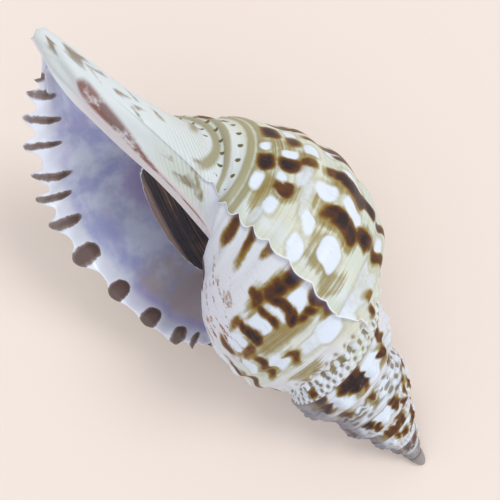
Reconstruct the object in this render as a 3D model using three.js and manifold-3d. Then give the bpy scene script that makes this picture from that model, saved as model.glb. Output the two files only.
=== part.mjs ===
// Triton shell with its horny operculum, lying as it settles on a table, mouth up and canal raised.
// The shell grew as one piece, so it is one solid; the operculum is the loose plate in its mouth.
// Units are millimetres and +Z is up. The shell is a coiled tube: u counts whorls back from the outer
// lip, and x runs along the whorl's outline from the suture (0) over the belly to the canal's end (15).

import * as THREE from 'three';
import { mergeVertices } from 'three/addons/utils/BufferGeometryUtils.js';
import Module from 'manifold-3d';

// Growth: the whorl widens by this factor in each turn, and the outer lip stands at this angle.
const GROWTH = 1.556;
const LIP_ANGLE = THREE.MathUtils.degToRad(-155);
const SHELL_LENGTH = 240;
const BODY_TAPER = 0.192;
const SPIRE_WIDTH = 0.197;

// Outline of the last whorl at the lip, as [radius, height] from the suture to the base of the neck.
const BODY = [
  [33.8, 98], [40.5, 108.4], [51, 121.4], [58, 129.6], [60, 137.2], [61.5, 143.8], [62.1, 152.6],
  [59.2, 167.6], [51.6, 182.2], [43.3, 191.4], [35.2, 197.7], [27.6, 204.5], [18.2, 210],
];
const NECK_ROW = BODY.length - 1;
const SUTURE_ROW = 6;
const CANAL_ROW = 15;

// How the flaring lip departs from that outline, and how far round the flare reaches.
const LIP_FLARE = [
  [7.8, 1.6], [6.7, -2.8], [3.9, -5.9], [-1.4, -4.9], [-1.1, -3.1], [-2.1, -1], [-4.2, 0.5], [-1.3, 0.7],
  [1.3, -0.9], [4.3, -0.6], [4.5, 1.4], [5.9, 4.4], [9.8, 4.5], [8.5, 0.5], [0, 0],
];
const FLARE_REACH = 0.34;

// The neck around the siphonal canal, and the waist of the base on the mouth side.
const NECK_RADIUS = 8;
const NECK_BEND = -8.2;
const NECK_BEND_FROM = 162;
const NECK_BEND_TO = 237;
const BASE_WAIST = { 10: 0.027, 11: 0.053, 12: 0.233 };

// Raised sculpture: spiral cords, a beaded edge by the suture, and former lips (varices).
const CORDS = [0.9, 1.5, 2.9, 4.9, 6.62, 7.74, 8.81, 9.7, 10.91, 12.25, 12.99, 13.33];
const CORD_HEIGHT = 2.2;
const BEADS_PER_TURN = 24;
const BEAD_HEIGHT = 1.1;
const VARIX_STEP = 0.6458;
const VARIX_HEIGHT = 3;
const VARIX_FRONT = 0.05;
const VARIX_BACK = 0.008;
const VARIX_FOOT = 0.05;
const VARIX_DROP = 0.6;
const VARIX_LEAN_AT_SUTURE = 0.05;
const VARIX_LEAN_AT_NECK = 0.03;

// The mouth: toothed outer lip, raised inner lip with a groove behind it, wall and cavity.
const TOOTH_LENGTH = 4.5;
const BLUNT_TOOTH_LENGTH = 1.2;
const RIM_ROLL = 0.006;
const RIM_DEPTH = 1.3;
const RIM_REACH = 0.012;
const EDGE_TOOTH_SHARE = 0.7;
const EDGE_LIP_SHARE = 0.5;
const INNER_LIP_HEIGHT = 2.6;
const GROOVE_DEPTH = 1.8;
const GROOVE_FROM_EDGE = 5.5;
const GROOVE_WIDTH = 3;
const WALL = 2.6;
const CALLUS = 1.3;
const PILLAR_SLIMMING = 0.4;
const CAVITY_TURNS = 1.2;
const CAVITY_START = 0.02;
const LEAST_CAVITY = 1.8;
const WALL_START_ROW = 0.5;
const CANAL_MOUTH_ROW = 13.6;
const CANAL_SLIT = 0.14;
const CAVITY_NECK_ROW = 11.4;

// The operculum, an oval plate that stands across the mouth against the central pillar.
const OPERCULUM = { turn: 0.06, radius: 19, height: 152, halfLength: 27.5, halfWidth: 11.6 };
const OPERCULUM_TILT = THREE.MathUtils.degToRad(16.8);
const OPERCULUM_THICKNESS = 2.2;
const OPERCULUM_DOME = 2.4;

// Mesh steps.
const STEPS_PER_TURN = 48;
const SPIRE_TURNS = 4.5;
const CAVITY_STEP = 1 / 30;
const CAVITY_OUTER_POINTS = 14;
const CAVITY_INNER_POINTS = 10;

// How the shell lies: turned about its long axis, then tipped back until the spire and the belly of the
// last whorl both rest on the ground, where their highest cords are worn flat.
const ROLL = THREE.MathUtils.degToRad(-0.6);
const TIP = THREE.MathUtils.degToRad(24.5);
const WORN_FLAT = 0.6;

const smooth = (from, to, x) => THREE.MathUtils.smoothstep(x, from, to);
const bell = (x, width) => Math.exp(-((x / width) ** 2));

function bodyOutline(u) {
  const scale = GROWTH ** -u;
  const width = 1 - BODY_TAPER * smooth(0.35, 1.15, u) + SPIRE_WIDTH * smooth(1, 2.6, u);
  return BODY.map(([radius, height], row) => {
    const waist = 1 - (BASE_WAIST[row] ?? 0) * smooth(0.55, 0.95, u);
    return [radius * scale * width * waist, height * scale];
  });
}

// Outline of the tube at u: it starts on the earlier whorl's suture line and ends at the canal's tip.
function outline(u) {
  const rows = bodyOutline(u);
  rows[0] = bodyOutline(u + 1)[SUTURE_ROW];
  const [baseRadius, baseHeight] = rows[NECK_ROW];
  const neck = SHELL_LENGTH - baseHeight;
  rows.push([NECK_RADIUS + (baseRadius - NECK_RADIUS) * 0.15, baseHeight + neck * 0.4]);
  rows.push([NECK_RADIUS * 0.7, baseHeight + neck * 0.8]);
  rows.push([NECK_RADIUS * 0.34, SHELL_LENGTH - 1.3]);
  const flare = 1 - smooth(0, FLARE_REACH, u);
  LIP_FLARE.forEach(([dr, dz], row) => {
    rows[row] = [rows[row][0] + dr * flare, rows[row][1] + dz * flare];
  });
  return rows;
}

// Catmull-Rom curve through the rows of an outline.
function along(rows, x) {
  const last = rows.length - 1;
  const i = Math.min(Math.max(Math.floor(x), 0), last - 1);
  const t = x - i;
  return [0, 1].map((axis) => {
    const b = rows[i][axis];
    const c = rows[i + 1][axis];
    const a = i > 0 ? rows[i - 1][axis] : 2 * b - c;
    const d = i + 2 <= last ? rows[i + 2][axis] : 2 * c - b;
    const square = 2 * a - 5 * b + 4 * c - d;
    const cube = 3 * b - 3 * c + d - a;
    return 0.5 * (2 * b + (c - a) * t + square * t ** 2 + cube * t ** 3);
  });
}

// A point of the outline moved out (or in, when negative) at right angles to it.
function offset(rows, x, distance) {
  const step = 0.02;
  const [r0, z0] = along(rows, Math.max(x - step, 0));
  const [r1, z1] = along(rows, Math.min(x + step, CANAL_ROW));
  const [r, z] = along(rows, x);
  const length = Math.hypot(r1 - r0, z1 - z0);
  return [r + (distance * (z1 - z0)) / length, z - (distance * (r1 - r0)) / length];
}

// Height of the cords at x: 1 on a cord, 0 in the groove between two cords.
function cordWave(x) {
  const next = CORDS.findIndex((cord) => cord > x);
  if (next < 1) return 0;
  const t = (x - CORDS[next - 1]) / (CORDS[next] - CORDS[next - 1]);
  return 0.5 + 0.5 * Math.cos(2 * Math.PI * t);
}

// A varix rises slowly to its free edge, drops there and runs out over the older shell behind it. It leans
// forward where it meets the suture and where it comes onto the neck.
function varices(u, x) {
  const reach = smooth(0.2, 1.2, x) * (1 - smooth(12.4, 13.6, x));
  const towardsSuture = VARIX_LEAN_AT_SUTURE * (1 - smooth(0.5, 4.5, x));
  const lean = towardsSuture + VARIX_LEAN_AT_NECK * smooth(11, 12, x);
  let height = 0;
  for (let at = VARIX_STEP; at < SPIRE_TURNS; at += VARIX_STEP) {
    const behind = u - at + lean;
    const step = VARIX_DROP * bell(behind, VARIX_BACK);
    const foot = (1 - VARIX_DROP) * bell(behind, VARIX_FOOT);
    height += behind < 0 ? bell(behind, VARIX_FRONT) : step + foot;
  }
  return VARIX_HEIGHT * reach * height * (0.75 + 0.25 * cordWave(x));
}

function relief(u, x) {
  const scale = GROWTH ** -u * (1 - smooth(SPIRE_TURNS - 1, SPIRE_TURNS - 0.2, u));
  const glazed = u > 0.7 && u <= 1 && x > SUTURE_ROW ? smooth(0.8, 0.93, u) : 0;
  const cords = CORD_HEIGHT * (cordWave(x) - 0.5) * smooth(0.3, 0.9, x) * (1 - smooth(11.5, 12.6, x));
  const beads = BEAD_HEIGHT * Math.cos(2 * Math.PI * BEADS_PER_TURN * u) * bell(x - 1.2, 0.7);
  return scale * ((cords + beads) * (1 - glazed) + varices(u, x));
}

function toothLength(x) {
  const pointed = smooth(5.6, 6.6, x) * (1 - smooth(13.3, 13.8, x));
  return cordWave(x) * (BLUNT_TOOTH_LENGTH + (TOOTH_LENGTH - BLUNT_TOOTH_LENGTH) * pointed);
}

// The outline at the end of the last whorl, for distances from the inner lip.
const bodyAndNeck = outline(1);

// The free edge of the inner lip, and the groove behind it, beside the neck and the base.
function innerLip(u, x) {
  const reach = smooth(8.4, 10.5, x) * (1 - smooth(13.8, 14.8, x));
  const fromEdge = (1 - u) * 2 * Math.PI * along(bodyAndNeck, x)[0];
  const lip = INNER_LIP_HEIGHT * bell(1 - u, 0.012);
  return reach * (lip - GROOVE_DEPTH * bell(fromEdge - GROOVE_FROM_EDGE, GROOVE_WIDTH));
}

function toSpace(u, [radius, height]) {
  const angle = LIP_ANGLE + 2 * Math.PI * u;
  const bend = NECK_BEND * smooth(NECK_BEND_FROM, NECK_BEND_TO, height);
  return new THREE.Vector3(radius * Math.cos(angle) + bend, -radius * Math.sin(angle), height);
}

// The neck's two lips stop short of each other, which leaves the siphonal canal open to its tip.
function aroundNeck(u, x) {
  return u + CANAL_SLIT * smooth(12.6, 14, x) * (0.5 - u);
}

function outside(u, x) {
  const lastWhorl = u <= 1 ? innerLip(u, x) : 0;
  const teeth = toothLength(x) * bell(u, 0.03);
  return toSpace(aroundNeck(u, x), offset(outline(u), x, relief(u, x) + lastWhorl + teeth));
}

// Evenly spaced points along a polyline of [radius, height] points.
function resample(line, count) {
  const lengths = [0];
  line.slice(1).forEach(([r, z], i) => lengths.push(lengths[i] + Math.hypot(r - line[i][0], z - line[i][1])));
  const total = lengths[lengths.length - 1];
  let k = 0;
  return Array.from({ length: count }, (_, i) => {
    const target = (total * i) / (count - 1);
    while (k < line.length - 2 && lengths[k + 1] < target) k += 1;
    const t = (target - lengths[k]) / (lengths[k + 1] - lengths[k]);
    return [0, 1].map((axis) => line[k][axis] + t * (line[k + 1][axis] - line[k][axis]));
  });
}

// Radius of a [radius, height] polyline where it first reaches a height.
function radiusAt(line, height) {
  const k = line.findIndex(([, z], i) => i > 0 && z >= height);
  if (k < 1) return height < line[0][1] ? line[0][0] : line[line.length - 1][0];
  const [[r0, z0], [r1, z1]] = [line[k - 1], line[k]];
  return r0 + ((r1 - r0) * (height - z0)) / (z1 - z0);
}

// Section of the cavity at u: up the inside of the outer wall, then back down the central pillar.
function cavityLoop(u) {
  const samples = 90;
  const scale = GROWTH ** -u;
  const outer = outline(u);
  const inner = outline(u + 1);
  const top = CANAL_MOUTH_ROW - (CANAL_MOUTH_ROW - CAVITY_NECK_ROW) * smooth(0, 0.4, u);
  const sample = (from, to, pick) => Array.from({ length: samples + 1 }, (_, k) => (
    pick(from + ((to - from) * k) / samples)));
  const pillar = sample(SUTURE_ROW, CANAL_ROW, (x) => {
    const [r, z] = offset(inner, x, CALLUS * scale * (1 - smooth(11, 13, x)));
    return [r * (1 - PILLAR_SLIMMING * smooth(11.5, 13, x)), z];
  });
  const wall = sample(WALL_START_ROW, top, (x) => (
    offset(outer, x, -WALL * (0.6 + 0.4 * scale) * (1 - 0.35 * smooth(12, 14, x)))));
  const open = ([r, z]) => r - radiusAt(pillar, z) > LEAST_CAVITY * scale;
  const first = wall.findIndex(open);
  const shut = wall.findIndex((point, k) => k > first && !open(point));
  const wallSide = wall.slice(first, shut < 0 ? wall.length : shut);
  const floor = wallSide[0][1];
  const ceiling = wallSide[wallSide.length - 1][1];
  const pillarSide = pillar.filter(([, z]) => z > floor + 0.3 && z < ceiling - 0.3).reverse();
  const down = resample(pillarSide, CAVITY_INNER_POINTS);
  return [...resample(wallSide, CAVITY_OUTER_POINTS), ...down].map((point) => toSpace(u, point));
}

class Skin {
  constructor() {
    this.points = [];
    this.faces = [];
  }

  point(position) {
    this.points.push(position);
    return this.points.length - 1;
  }

  face(a, b, c) {
    if (a !== b && b !== c && c !== a) this.faces.push([a, b, c]);
  }

  quad(a, b, c, d) {
    this.face(a, b, c);
    this.face(a, c, d);
  }

  // Gives a ring's entries their place along it: 0 at the start, 0.5 at entry half, 1 back at the start.
  measure(ring, half) {
    const place = (i) => this.points[ring[i % ring.length].index];
    const lengths = ring.map((_, i) => place(i).distanceTo(place(i + 1)));
    const sum = (from, to) => lengths.slice(from, to).reduce((total, value) => total + value, 0);
    ring.forEach((entry, i) => {
      entry.at = i <= half ? (0.5 * sum(0, i)) / sum(0, half) : 0.5 + (0.5 * sum(half, i)) / sum(half);
    });
  }

  // Joins two closed rings whose entries are { index, at } with at running from 0 to 1.
  bridge(first, second) {
    let i = 0;
    let j = 0;
    const at = (ring, k) => (k < ring.length ? ring[k].at : 1);
    while (i < first.length || j < second.length) {
      const a = first[i % first.length].index;
      const b = second[j % second.length].index;
      const takeFirst = j >= second.length || (i < first.length && at(first, i + 1) <= at(second, j + 1));
      if (takeFirst) {
        i += 1;
        this.face(a, first[i % first.length].index, b);
      } else {
        j += 1;
        this.face(a, second[j % second.length].index, b);
      }
    }
  }

  fan(ring, tip) {
    ring.forEach(({ index }, k) => this.face(index, ring[(k + 1) % ring.length].index, tip));
  }

  geometry() {
    const geometry = new THREE.BufferGeometry().setFromPoints(this.points);
    geometry.setIndex(this.faces.flat());
    return geometry;
  }
}

// Rows of the mesh: on each cord, in each groove, on the suture line, and a few more along the neck.
function meshRows() {
  const rows = [0, 0.4];
  CORDS.forEach((cord, k) => {
    rows.push(cord);
    const next = CORDS[k + 1];
    if (cord < SUTURE_ROW && next > SUTURE_ROW) rows.push(SUTURE_ROW);
    else if (next) rows.push((cord + next) / 2);
  });
  return [...rows, 13.7, 14.1, 14.6, CANAL_ROW];
}

function shellSkin() {
  const skin = new Skin();
  const rows = meshRows();
  const sutureRow = rows.indexOf(SUTURE_ROW);
  const end = Math.round(SPIRE_TURNS * STEPS_PER_TURN);
  const tip = skin.point(toSpace(0, [0, SHELL_LENGTH]));
  const grid = [];

  // The outer face, made from the apex end so that each whorl's suture can use the whorl before it.
  for (let i = end; i >= 0; i -= 1) {
    const u = i / STEPS_PER_TURN;
    const onSpire = i > STEPS_PER_TURN;
    const count = onSpire ? sutureRow + 1 : rows.length;
    grid[i] = rows.slice(0, count).map((x, j) => {
      if (j === 0 && i + STEPS_PER_TURN <= end) return grid[i + STEPS_PER_TURN][sutureRow];
      return skin.point(outside(u, x));
    });
    if (!onSpire) grid[i].push(tip);
  }
  for (let i = 0; i < end; i += 1) {
    const strips = i < STEPS_PER_TURN ? grid[i].length - 1 : sutureRow;
    for (let j = 0; j < strips; j += 1) {
      skin.quad(grid[i][j], grid[i][j + 1], grid[i + 1][j + 1], grid[i + 1][j]);
    }
  }

  // The worn apex closes the smallest whorl.
  const apexRing = [];
  for (let i = end - STEPS_PER_TURN + 1; i <= end; i += 1) apexRing.push({ index: grid[i][0] });
  apexRing.push({ index: grid[end][sutureRow] });
  skin.fan(apexRing, skin.point(new THREE.Vector3(0, 0, 0)));
  for (let j = 0; j + 2 <= sutureRow; j += 1) skin.face(grid[end][j], grid[end][j + 1], grid[end][sutureRow]);

  // The rim goes up the outer lip to the canal's tip and down the inner lip: first its rounded edge,
  // then the start of the inner face.
  const steps = rows.length;
  const lip = grid[0].map((index, j) => ({ index, x: rows[j] ?? CANAL_ROW, u: 0 }));
  for (let j = steps - 1; j > sutureRow; j -= 1) {
    lip.push({ index: grid[STEPS_PER_TURN][j], x: rows[j], u: 1 });
  }
  skin.measure(lip, steps);
  const ringInside = (turnAt, liftAt) => lip.slice(1).map(({ at, x, u }) => {
    const turn = u + turnAt(u, x);
    const moved = offset(outline(Math.max(turn, 0)), x, liftAt(u, x));
    return { index: skin.point(toSpace(aroundNeck(turn, x), moved)), at };
  });
  const outerEdge = (x) => EDGE_TOOTH_SHARE * toothLength(x) - RIM_DEPTH * smooth(0, 0.8, x);
  const innerEdge = (x) => EDGE_LIP_SHARE * innerLip(1, x);
  const edge = ringInside(
    (u, x) => (u === 0 ? -RIM_ROLL * smooth(0, 0.6, x) * (1 - smooth(13, 14, x)) : RIM_ROLL),
    (u, x) => relief(u, x) + (u === 0 ? outerEdge(x) : innerEdge(x)),
  );
  const rim = ringInside(
    () => RIM_REACH,
    (u, x) => (u === 0 ? -WALL * smooth(0, 0.8, x) : CALLUS) * (1 - 0.35 * smooth(12, 14, x)),
  );
  skin.bridge(edge, lip);
  skin.bridge(rim, edge);

  // The cavity, wound inward from the mouth.
  const size = CAVITY_OUTER_POINTS + CAVITY_INNER_POINTS;
  const turns = Math.round((CAVITY_TURNS - CAVITY_START) / CAVITY_STEP);
  let previous = rim;
  for (let i = 0; i <= turns; i += 1) {
    const section = cavityLoop(CAVITY_START + i * CAVITY_STEP);
    const loop = section.map((position) => ({ index: skin.point(position) }));
    if (i === 0) {
      skin.measure(loop, CAVITY_OUTER_POINTS - 1);
      skin.bridge(loop, previous);
    } else {
      for (let k = 0; k < size; k += 1) {
        const next = (k + 1) % size;
        skin.quad(previous[k].index, loop[k].index, loop[next].index, previous[next].index);
      }
    }
    previous = loop;
  }
  const centre = new THREE.Vector3();
  previous.forEach(({ index }) => centre.addScaledVector(skin.points[index], 1 / size));
  skin.fan([...previous].reverse(), skin.point(centre));
  return skin;
}

// An oval plate, domed towards the mouth, thinner at its edge.
function operculumSkin() {
  const skin = new Skin();
  const segments = 20;
  const rings = [0.4, 0.75, 1];
  const { turn, radius, height, halfLength, halfWidth } = OPERCULUM;
  const angle = LIP_ANGLE + 2 * Math.PI * turn;
  const outward = new THREE.Vector3(Math.cos(angle), -Math.sin(angle), 0);
  const forward = new THREE.Vector3(Math.sin(angle), Math.cos(angle), 0);
  const place = (ring, phase, side) => {
    const across = ring * halfWidth * Math.sin(phase);
    const lengthways = ring * halfLength * Math.cos(phase);
    const r = radius + across * Math.cos(OPERCULUM_TILT) - lengthways * Math.sin(OPERCULUM_TILT);
    const z = height + across * Math.sin(OPERCULUM_TILT) + lengthways * Math.cos(OPERCULUM_TILT);
    const dome = OPERCULUM_DOME * (1 - ring ** 2) + side * OPERCULUM_THICKNESS * (1 - 0.6 * ring ** 2) * 0.5;
    const bend = NECK_BEND * smooth(NECK_BEND_FROM, NECK_BEND_TO, z);
    return new THREE.Vector3(bend, 0, z).addScaledVector(outward, r).addScaledVector(forward, dome);
  };
  const faceRings = [1, -1].map((side) => {
    const centre = skin.point(place(0, 0, side));
    const made = rings.map((ring) => Array.from({ length: segments }, (_, k) => (
      { index: skin.point(place(ring, (2 * Math.PI * k) / segments, side)) })));
    const order = (list) => (side > 0 ? list : [...list].reverse());
    skin.fan(order(made[0]), centre);
    for (let n = 0; n + 1 < made.length; n += 1) {
      const near = order(made[n]);
      const far = order(made[n + 1]);
      near.forEach((entry, k) => {
        const next = (k + 1) % segments;
        skin.quad(near[next].index, entry.index, far[k].index, far[next].index);
      });
    }
    return made;
  });
  const top = faceRings[0][rings.length - 1];
  const bottom = faceRings[1][rings.length - 1];
  top.forEach((entry, k) => {
    const next = (k + 1) % segments;
    skin.quad(top[next].index, entry.index, bottom[k].index, bottom[next].index);
  });
  return skin;
}

const wasm = await Module();
wasm.setup();

function toManifold(geometry) {
  return new wasm.Manifold(new wasm.Mesh({
    numProp: 3,
    vertProperties: new Float32Array(geometry.attributes.position.array),
    triVerts: new Uint32Array(geometry.index.array),
  }));
}

function fromManifold(manifold) {
  const mesh = manifold.getMesh();
  const geometry = new THREE.BufferGeometry();
  geometry.setAttribute('position', new THREE.BufferAttribute(new Float32Array(mesh.vertProperties), 3));
  geometry.setIndex(new THREE.BufferAttribute(new Uint32Array(mesh.triVerts), 1));
  return geometry;
}

// Turns the upright shell into its resting place: canal towards +X and raised, mouth up.
function layDown(geometry) {
  const canal = new THREE.Vector3(0, Math.sin(TIP), Math.cos(TIP));
  const side = new THREE.Vector3(-1, 0, 0);
  const up = new THREE.Vector3(0, -Math.cos(TIP), Math.sin(TIP));
  const tipped = new THREE.Matrix4().makeBasis(canal, side, up).transpose();
  geometry.applyMatrix4(tipped.multiply(new THREE.Matrix4().makeRotationZ(ROLL)));
}

const shellGeometry = shellSkin().geometry();
const operculumGeometry = operculumSkin().geometry();
layDown(shellGeometry);
layDown(operculumGeometry);

// The origin is on the ground, under the middle of the shell.
shellGeometry.computeBoundingBox();
const { min, max } = shellGeometry.boundingBox;
const toOrigin = [-(min.x + max.x) / 2, -(min.y + max.y) / 2, -(min.z + WORN_FLAT)];
shellGeometry.translate(...toOrigin);
operculumGeometry.translate(...toOrigin);

// Everything below the ground plane is worn away.
const GROUND_SIZE = 400;
const GROUND_DEPTH = 20;
const block = new THREE.BoxGeometry(GROUND_SIZE, GROUND_SIZE, GROUND_DEPTH);
block.deleteAttribute('normal').deleteAttribute('uv');
const ground = mergeVertices(block);
ground.translate(0, 0, -GROUND_DEPTH / 2);
const wornShell = fromManifold(toManifold(shellGeometry).subtract(toManifold(ground)));

function piece(name, geometry, color, roughness) {
  const mesh = new THREE.Mesh(geometry, new THREE.MeshStandardMaterial({ color, roughness, metalness: 0 }));
  mesh.name = name;
  return mesh;
}

const triton = new THREE.Group();
triton.add(piece('shell', wornShell, 0xe9dfcb, 0.35));
triton.add(piece('operculum', operculumGeometry, 0x2b1c14, 0.45));

export default triton;
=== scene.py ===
import math

import bpy
import numpy as np
from mathutils import Matrix, Vector


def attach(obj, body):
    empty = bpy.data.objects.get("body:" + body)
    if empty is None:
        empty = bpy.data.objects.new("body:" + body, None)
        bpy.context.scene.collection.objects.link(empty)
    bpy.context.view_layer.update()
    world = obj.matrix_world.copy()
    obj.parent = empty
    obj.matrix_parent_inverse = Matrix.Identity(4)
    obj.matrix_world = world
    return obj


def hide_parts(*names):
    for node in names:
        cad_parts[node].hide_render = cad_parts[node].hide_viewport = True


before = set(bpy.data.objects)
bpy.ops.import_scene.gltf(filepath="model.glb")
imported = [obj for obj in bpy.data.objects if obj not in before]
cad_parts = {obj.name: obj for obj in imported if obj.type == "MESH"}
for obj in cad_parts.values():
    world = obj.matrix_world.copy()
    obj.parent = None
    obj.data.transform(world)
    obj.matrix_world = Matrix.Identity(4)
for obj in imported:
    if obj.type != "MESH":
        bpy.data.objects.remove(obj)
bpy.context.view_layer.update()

# Growth and outline of the coiled shell, the same values as in the part's source. Millimetres.
# u counts whorls back from the outer lip. x runs from the suture (0) to the canal's end (15).
GROWTH = 1.556
LIP_ANGLE = math.radians(-155)
SHELL_LENGTH = 240
BODY_TAPER = 0.192
SPIRE_WIDTH = 0.197
BODY = np.array([
    [33.8, 98], [40.5, 108.4], [51, 121.4], [58, 129.6], [60, 137.2], [61.5, 143.8], [62.1, 152.6],
    [59.2, 167.6], [51.6, 182.2], [43.3, 191.4], [35.2, 197.7], [27.6, 204.5], [18.2, 210],
])
NECK_ROW = 12
SUTURE_ROW = 6
CANAL_ROW = 15
LIP_FLARE = np.array([
    [7.8, 1.6], [6.7, -2.8], [3.9, -5.9], [-1.4, -4.9], [-1.1, -3.1], [-2.1, -1], [-4.2, 0.5], [-1.3, 0.7],
    [1.3, -0.9], [4.3, -0.6], [4.5, 1.4], [5.9, 4.4], [9.8, 4.5], [8.5, 0.5],
])
FLARE_REACH = 0.34
OLIVE_BANDS = [10.75, 10.2, 9.7, 8.62, 8.15]
DOT_ROWS = [9.98, 9.1, 10.5]
DOT_STEP = 0.045
DOT_RADIUS = 1.1
NECK_RADIUS = 8
NECK_BEND = -8.2
NECK_BEND_FROM = 162
NECK_BEND_TO = 237
BASE_WAIST = np.array([0.0] * 10 + [0.027, 0.053, 0.233])

# Sculpture.
CORDS = np.array([0.9, 1.5, 2.9, 4.9, 6.62, 7.74, 8.81, 9.7, 10.91, 12.25, 12.99, 13.33])
CORD_HEIGHT = 2.2
THREAD_HEIGHT = 0.4
BASE_DRIFT = 3.5
BAND_HEIGHT = 0.9
BAND_WIDTH = 1.7
BEADS_PER_TURN = 24
BEAD_HEIGHT = 1.1
SMALL_BEADS_PER_TURN = 42
SMALL_BEAD_HEIGHT = 0.9
BEAD_ROW = 0.34
KNOBS_PER_TURN = 19
KNOB_HEIGHT = 2.3
NECK_RIBS_PER_ROW = 14
NECK_RIB_DRIFT = -1.5
SPIRE_CORD_HEIGHT = 1.1
VARIX_STEP = 0.6458
VARIX_HEIGHT = 3
VARIX_FRONT = 0.05
VARIX_BACK = 0.004
FINGERS = np.array([2.4, 3.8, 5.0, 6.0, 6.9, 7.75, 8.53, 9.39, 10.46, 11.2, 11.85, 12.25])
FINGER_ROWS = [3, 6, 8, 10, 12]
FINGER_TURNS = [0, 0.005, 0.009, 0.013, 0.018]
VARIX_FOOT = 0.05
VARIX_LEAN_AT_SUTURE = 0.05
VARIX_LEAN_AT_NECK = 0.03
WHORLS = 6.0
APEX_RINGS = 8
APEX_WEAR = 0.4

# Mouth.
TOOTH_LENGTH = 4.5
BLUNT_TOOTH_LENGTH = 1.2
RIM_ROLL = 0.006
RIM_REACH = 0.012
INNER_LIP_HEIGHT = 2.6
GROOVE_DEPTH = 1.8
GROOVE_FROM_EDGE = 5.5
GROOVE_WIDTH = 3
TOOTH_RIDGE = 1.3
WALL = 2.6
CALLUS = 1.3
PILLAR_SLIMMING = 0.4
CAVITY_TURNS = 1.2
CAVITY_START = 0.02
LEAST_CAVITY = 1.8
WALL_START_ROW = 0.5
CANAL_MOUTH_ROW = 13.6
CANAL_SLIT = 0.14
CAVITY_NECK_ROW = 11.4

# Operculum.
OPERCULUM_TURN = 0.06
OPERCULUM_RADIUS = 19
OPERCULUM_HEIGHT = 152
OPERCULUM_HALF_LENGTH = 27.5
OPERCULUM_HALF_WIDTH = 11.6
OPERCULUM_TILT = math.radians(16.8)
OPERCULUM_THICKNESS = 2.2
OPERCULUM_DOME = 2.4
OPERCULUM_LINE_HEIGHT = 0.22
OPERCULUM_SEGMENTS = 160
OPERCULUM_RINGS = 34

# How the shell lies, and where its apex is in the row's frame, in millimetres.
ROLL = math.radians(-0.6)
TIP = math.radians(24.5)
APEX = np.array([-109.213, -2.958, 0.057])

# The photograph: where the shell's apex falls in it, how the shell's axis lies to it, and its focal
# length, in pixels. One pixel at the apex's depth is UNIT millimetres.
PICTURE = 500
FOCAL = 850
APEX_PIXEL = (423.67, 464.5)
AXIS_TURN = math.radians(50.715)
AXIS_TILT = math.radians(19.0)
UNIT = 0.438


def smooth(low, high, x):
    t = np.clip((x - low) / (high - low), 0, 1)
    return t * t * (3 - 2 * t)


def window(low, full, fading, high, x):
    """0 below low and above high, 1 between full and fading."""
    return smooth(low, full, x) * (1 - smooth(fading, high, x))


def bell(x, width):
    return np.exp(-((x / width) ** 2))


def body_outline(u):
    scale = GROWTH ** -u
    width = 1 - BODY_TAPER * smooth(0.35, 1.15, u) + SPIRE_WIDTH * smooth(1, 2.6, u)
    waist = 1 - BASE_WAIST * smooth(0.55, 0.95, u)[:, None]
    radius = BODY[:, 0] * waist * (scale * width)[:, None]
    return np.stack([radius, BODY[:, 1] * scale[:, None]], axis=-1)


def outline(u):
    """The tube's outline at each u, as rows of radius and height."""
    rows = np.zeros((len(u), CANAL_ROW + 1, 2))
    rows[:, :NECK_ROW + 1] = body_outline(u)
    rows[:, 0] = body_outline(u + 1)[:, SUTURE_ROW]
    base_radius, base_height = rows[:, NECK_ROW, 0], rows[:, NECK_ROW, 1]
    neck = SHELL_LENGTH - base_height
    rows[:, 13, 0] = NECK_RADIUS + (base_radius - NECK_RADIUS) * 0.15
    rows[:, 13, 1] = base_height + neck * 0.4
    rows[:, 14, 0] = NECK_RADIUS * 0.7
    rows[:, 14, 1] = base_height + neck * 0.8
    rows[:, 15, 0] = NECK_RADIUS * 0.34
    rows[:, 15, 1] = SHELL_LENGTH - 1.3
    flare = 1 - smooth(0, FLARE_REACH, u)
    rows[:, :len(LIP_FLARE)] += LIP_FLARE * flare[:, None, None]
    return rows


def section(u, count):
    """The outline at one u, repeated for count places along it."""
    return np.repeat(outline(np.array([u])), count, axis=0)


def along(rows, x):
    """Catmull-Rom curve through the rows, evaluated at one x for each."""
    last = rows.shape[1] - 1
    i = np.clip(np.floor(x).astype(int), 0, last - 1)
    n = np.arange(len(x))
    t = (x - i)[:, None]
    b, c = rows[n, i], rows[n, i + 1]
    a = np.where((i > 0)[:, None], rows[n, np.maximum(i - 1, 0)], 2 * b - c)
    d = np.where((i + 2 <= last)[:, None], rows[n, np.minimum(i + 2, last)], 2 * c - b)
    square = (2 * a - 5 * b + 4 * c - d) * t ** 2
    cube = (3 * b - 3 * c + d - a) * t ** 3
    return 0.5 * (2 * b + (c - a) * t + square + cube)


def offset(rows, x, distance):
    step = 0.02
    low = along(rows, np.maximum(x - step, 0))
    high = along(rows, np.minimum(x + step, CANAL_ROW))
    run = high - low
    length = np.hypot(run[:, 0], run[:, 1])
    out = along(rows, x)
    out[:, 0] += distance * run[:, 1] / length
    out[:, 1] -= distance * run[:, 0] / length
    return out


def cord_phase(x):
    """Place of x between two cords, from 0 on one to 1 on the next, and whether it is between two."""
    following = np.searchsorted(CORDS, x, side="right")
    between = (following > 0) & (following < len(CORDS))
    k = np.clip(following, 1, len(CORDS) - 1)
    return np.where(between, (x - CORDS[k - 1]) / (CORDS[k] - CORDS[k - 1]), 0.5), between


def cord_wave(x):
    t, between = cord_phase(x)
    return np.where(between, 0.5 + 0.5 * np.cos(2 * np.pi * t), 0)


def base_row(u, x):
    """Row of a place at the lip, followed along the cords, which come nearer the neck further back."""
    return x - BASE_DRIFT * np.minimum(u, 1) * smooth(8.3, 10.3, x)


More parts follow.
